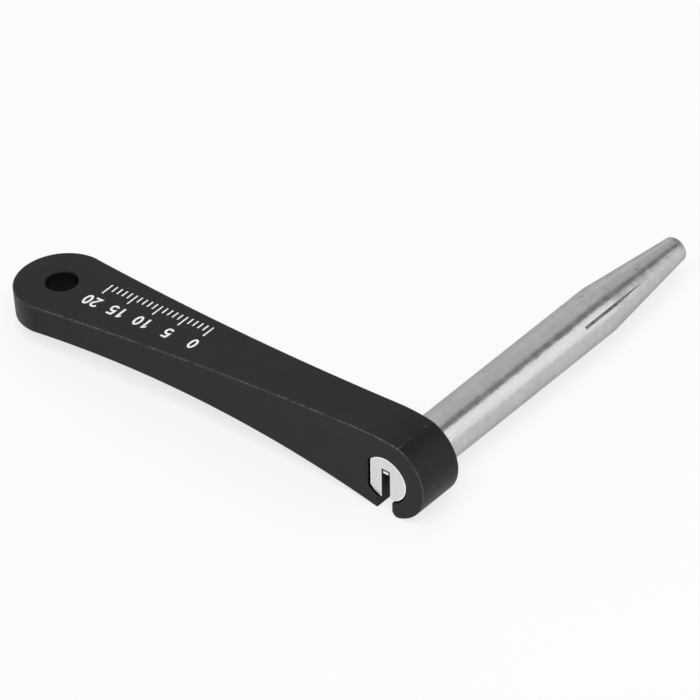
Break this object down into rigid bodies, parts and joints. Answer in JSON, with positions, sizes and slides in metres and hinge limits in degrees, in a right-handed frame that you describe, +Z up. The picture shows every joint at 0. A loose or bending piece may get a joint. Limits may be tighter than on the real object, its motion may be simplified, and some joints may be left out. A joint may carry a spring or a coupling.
{
  "type": "bladed spoke holder",
  "caption": "L-shaped hand tool: a black lever with a hanging hole carries a slotted, tapered steel rod that keeps a flat spoke from twisting.",
  "frame": {"origin": "on the rod's axis where the rod leaves the head's back face", "axes": "+Y along the rod towards its tip, +X from the tail to the head, +Z up with the slot opening downwards"},
  "size_m": [0.0811, 0.0732, 0.0136],
  "materials": {
    "black_anodised": "matt black anodised, lightly worn at the edges",
    "satin_steel": "satin, with faint turning marks",
    "white_ink": "flat pad-printed ink"
  },
  "bodies": {
    "root": {"handle": "black_anodised", "spoke_rod": "satin_steel"}
  },
  "joints": []
}
